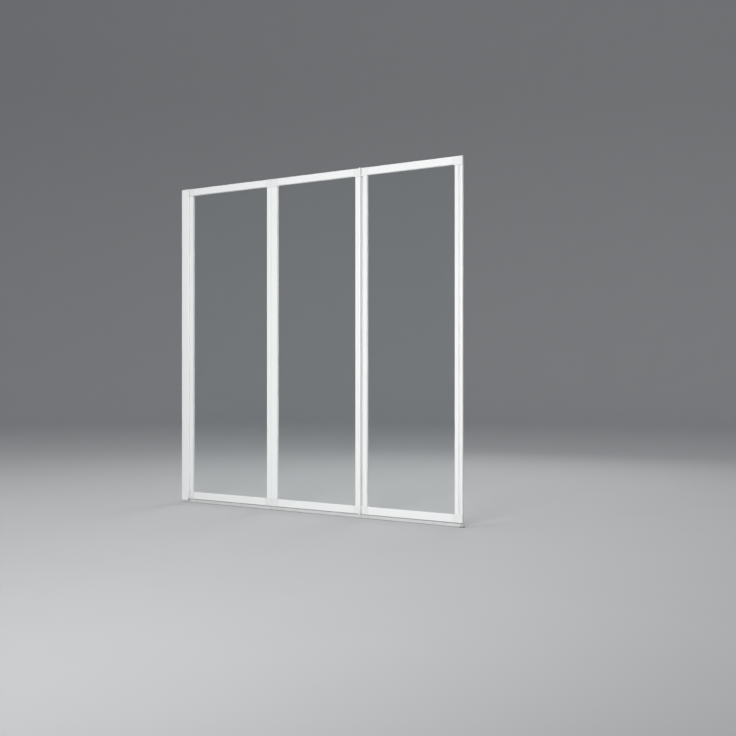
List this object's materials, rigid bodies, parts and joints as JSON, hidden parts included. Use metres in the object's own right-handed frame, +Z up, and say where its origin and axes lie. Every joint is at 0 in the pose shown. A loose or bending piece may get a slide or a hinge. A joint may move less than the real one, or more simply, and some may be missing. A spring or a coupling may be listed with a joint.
{
  "type": "folding bath screen",
  "caption": "Framed glass bath screen with hinged leaves that fold like a concertina against a wall channel, with a sealing strip and a foot on the bath rim.",
  "frame": {"origin": "middle of the wall channel's fixing holes, on the wall face of the channel", "axes": "+X along the unfolded screen away from the wall, -Y towards the room, +Z up"},
  "size_m": [1.2732, 0.0228, 1.2133],
  "materials": {
    "white_profile": "white powder coat",
    "moulded_white": "satin white moulding",
    "clear_glass": "clear",
    "glazing_gasket": "pale grey soft vinyl",
    "clear_seal": "translucent soft vinyl",
    "steel": "stainless",
    "nylon": "natural",
    "foot_rubber": "matt dark rubber"
  },
  "bodies": {
    "channel": {"wall_channel": "white_profile", "channel_cap_top": "moulded_white", "channel_cap_bottom": "moulded_white"},
    "jamb": {"hinge_jamb": "white_profile", "jamb_block_top": "moulded_white", "jamb_block_bottom": "moulded_white", "clamp_screws": "steel", "screw_caps": "moulded_white"},
    "leaf_1": {"leaf_1_left_stile": "white_profile", "leaf_1_right_stile": "white_profile", "leaf_1_top_rail": "white_profile", "leaf_1_bottom_rail": "white_profile", "leaf_1_corner_top_left": "moulded_white", "leaf_1_corner_bottom_left": "moulded_white", "leaf_1_corner_top_right": "moulded_white", "leaf_1_corner_bottom_right": "moulded_white", "leaf_1_pane": "clear_glass", "leaf_1_gasket": "glazing_gasket", "leaf_1_seal": "clear_seal", "wall_hinge_pins": "steel", "wall_hinge_washers": "nylon", "inner_hinge_pins": "steel", "inner_hinge_washers": "nylon"},
    "leaf_2": {"leaf_2_left_stile": "white_profile", "leaf_2_right_stile": "white_profile", "leaf_2_top_rail": "white_profile", "leaf_2_bottom_rail": "white_profile", "leaf_2_corner_top_left": "moulded_white", "leaf_2_corner_bottom_left": "moulded_white", "leaf_2_corner_top_right": "moulded_white", "leaf_2_corner_bottom_right": "moulded_white", "leaf_2_pane": "clear_glass", "leaf_2_gasket": "glazing_gasket", "leaf_2_seal": "clear_seal", "outer_hinge_pins": "steel", "outer_hinge_washers": "nylon"},
    "leaf_3": {"leaf_3_left_stile": "white_profile", "leaf_3_right_stile": "white_profile", "leaf_3_top_rail": "white_profile", "leaf_3_bottom_rail": "white_profile", "leaf_3_corner_top_left": "moulded_white", "leaf_3_corner_bottom_left": "moulded_white", "leaf_3_corner_top_right": "moulded_white", "leaf_3_corner_bottom_right": "moulded_white", "leaf_3_pane": "clear_glass", "leaf_3_gasket": "glazing_gasket", "leaf_3_seal": "clear_seal", "foot_stem": "clear_seal", "foot_pad": "foot_rubber"}
  },
  "joints": [
    {"name": "wall_adjust", "type": "slide", "parent": "channel", "child": "jamb", "axis": [1, 0, 0], "range_m": [0, 0.012]},
    {"name": "wall_hinge", "type": "hinge", "parent": "jamb", "child": "leaf_1", "pos_m": [0.0382, -0.007, 0], "axis": [0, 0, 1], "range_deg": [-90, 0]},
    {"name": "inner_hinge", "type": "hinge", "parent": "leaf_1", "child": "leaf_2", "pos_m": [0.4542, 0.007, 0], "axis": [0, 0, 1], "range_deg": [0, 180]},
    {"name": "outer_hinge", "type": "hinge", "parent": "leaf_2", "child": "leaf_3", "pos_m": [0.8572, -0.007, 0], "axis": [0, 0, 1], "range_deg": [-180, 0]}
  ]
}
